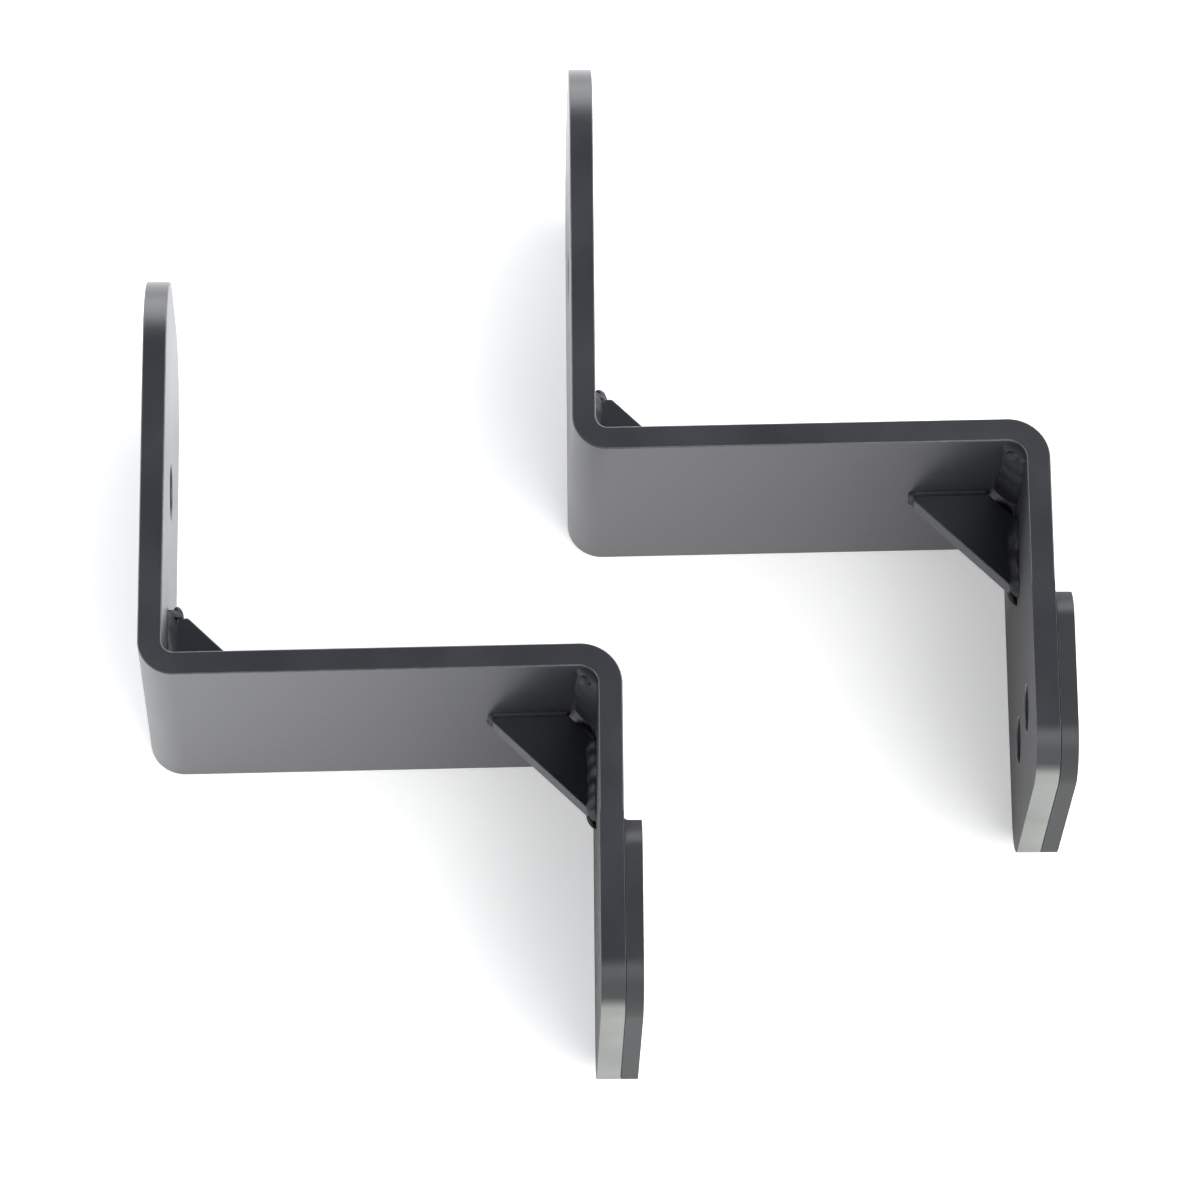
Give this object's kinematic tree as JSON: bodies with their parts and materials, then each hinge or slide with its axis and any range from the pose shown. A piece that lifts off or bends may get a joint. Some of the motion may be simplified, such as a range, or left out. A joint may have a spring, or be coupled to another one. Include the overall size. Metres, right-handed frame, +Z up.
{
  "type": "z-shaped offset bracket pair",
  "caption": "Pair of heavy Z-shaped steel brackets, bent from wide flat bar, with gussets in both bends, a doubler plate and bolt holes; they stand on edge as book ends.",
  "frame": {"origin": "centre of the pair's bounding box in plan, on the surface that the pair stands on", "axes": "+X from the upper flange to the lower flange, +Y up the flanges towards the rounded ends, +Z up from the surface, across the width of the bar"},
  "size_m": [0.2326, 0.26, 0.075],
  "materials": {
    "coated_bar": "black powder coat, satin to semi-gloss, on bent flat bar",
    "coated_plate": "black powder coat, satin to semi-gloss, on cut plate",
    "coated_gusset": "black powder coat, satin, on cut gusset plate",
    "coated_weld": "black powder coat over rippled weld beads"
  },
  "bodies": {
    "right_bracket": {"right_bent_bar": "coated_bar", "right_upper_gusset": "coated_gusset", "right_lower_gusset": "coated_gusset", "right_doubler_plate": "coated_plate", "right_upper_gusset_welds": "coated_weld", "right_lower_gusset_welds": "coated_weld", "right_lower_corner_welds": "coated_weld", "right_doubler_weld": "coated_weld"},
    "left_bracket": {"left_bent_bar": "coated_bar", "left_upper_gusset": "coated_gusset", "left_lower_gusset": "coated_gusset", "left_doubler_plate": "coated_plate", "left_upper_gusset_welds": "coated_weld", "left_lower_gusset_welds": "coated_weld", "left_lower_corner_welds": "coated_weld", "left_doubler_weld": "coated_weld"}
  },
  "joints": [
    {"name": "left_bracket_slide", "type": "slide", "parent": "right_bracket", "child": "left_bracket", "axis": [-1, 0, 0], "range_m": [0, 0.15]}
  ]
}
